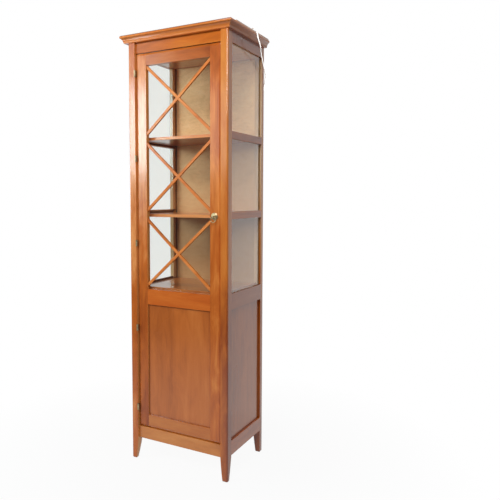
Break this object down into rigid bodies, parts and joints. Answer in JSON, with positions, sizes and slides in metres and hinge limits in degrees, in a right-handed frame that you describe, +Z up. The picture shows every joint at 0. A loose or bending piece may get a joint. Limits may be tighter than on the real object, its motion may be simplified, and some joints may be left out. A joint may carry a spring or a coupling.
{
  "type": "display cabinet",
  "caption": "Tall wooden display cabinet on tapered legs, with glazed sides, a lattice glazed door over a panelled cupboard, shelves, a cornice and a ceiling lamp.",
  "frame": {"origin": "on the floor, at the centre of the cornice's footprint", "axes": "+Z up, -Y out of the door's front, +X to the right as seen from the front"},
  "size_m": [0.5824, 0.478, 1.9732],
  "materials": {
    "wood": "satin varnished hardwood, warm red brown",
    "glass": "clear float glass",
    "brass": "polished brass",
    "steel": "zinc plated steel",
    "black_plastic": "black moulded plastic",
    "white_metal": "white painted metal",
    "lens": "frosted lens",
    "white_plastic": "white flexible plastic",
    "tie": "black strap"
  },
  "bodies": {
    "carcass": {"post_front_left": "wood", "post_front_right": "wood", "post_rear_left": "wood", "post_rear_right": "wood", "cornice_front": "wood", "cornice_left": "wood", "cornice_right": "wood", "top_rail_front": "wood", "top_rail_rear": "wood", "top_rail_left": "wood", "top_rail_right": "wood", "apron_front": "wood", "apron_rear": "wood", "apron_left": "wood", "apron_right": "wood", "rail_deck_left": "wood", "rail_deck_right": "wood", "rail_lower_left": "wood", "rail_lower_right": "wood", "rail_upper_left": "wood", "rail_upper_right": "wood", "side_panel_left": "wood", "side_panel_right": "wood", "glazing_beads_left": "wood", "glazing_beads_right": "wood", "shelf_upper": "wood", "shelf_lower": "wood", "deck_board": "wood", "bottom_board": "wood", "top_board": "wood", "ceiling_panel": "wood", "back_panel": "wood", "side_glass_left": "glass", "side_glass_right": "glass", "hinge_leaves_post": "brass", "hinge_pins": "brass", "catch_magnet": "black_plastic", "lamp_body": "white_metal", "lamp_lens": "lens", "cord_gland": "white_plastic", "lamp_lead": "white_plastic", "cord_lead": "white_plastic", "cord_coil": "white_plastic", "plug": "white_plastic", "cord_tie": "tie"},
    "door": {"door_stile_hinge": "wood", "door_stile_lock": "wood", "door_rail_top": "wood", "door_rail_middle": "wood", "door_rail_bottom": "wood", "door_panel": "wood", "door_beads": "wood", "lattice_upper": "wood", "lattice_middle": "wood", "lattice_lower": "wood", "door_glass": "glass", "hinge_leaves_door": "brass", "pull_rosette": "brass", "catch_strike": "steel"},
    "ring": {"pull_ring": "brass"}
  },
  "joints": [
    {"name": "door_hinge", "type": "hinge", "parent": "carcass", "child": "door", "pos_m": [-0.21975, -0.1595, 1], "axis": [0, 0, -1], "range_deg": [0, 175]},
    {"name": "ring_swing", "type": "hinge", "parent": "door", "child": "ring", "pos_m": [0.187, -0.1655, 1.1485], "axis": [-1, 0, 0], "range_deg": [0, 85]}
  ]
}
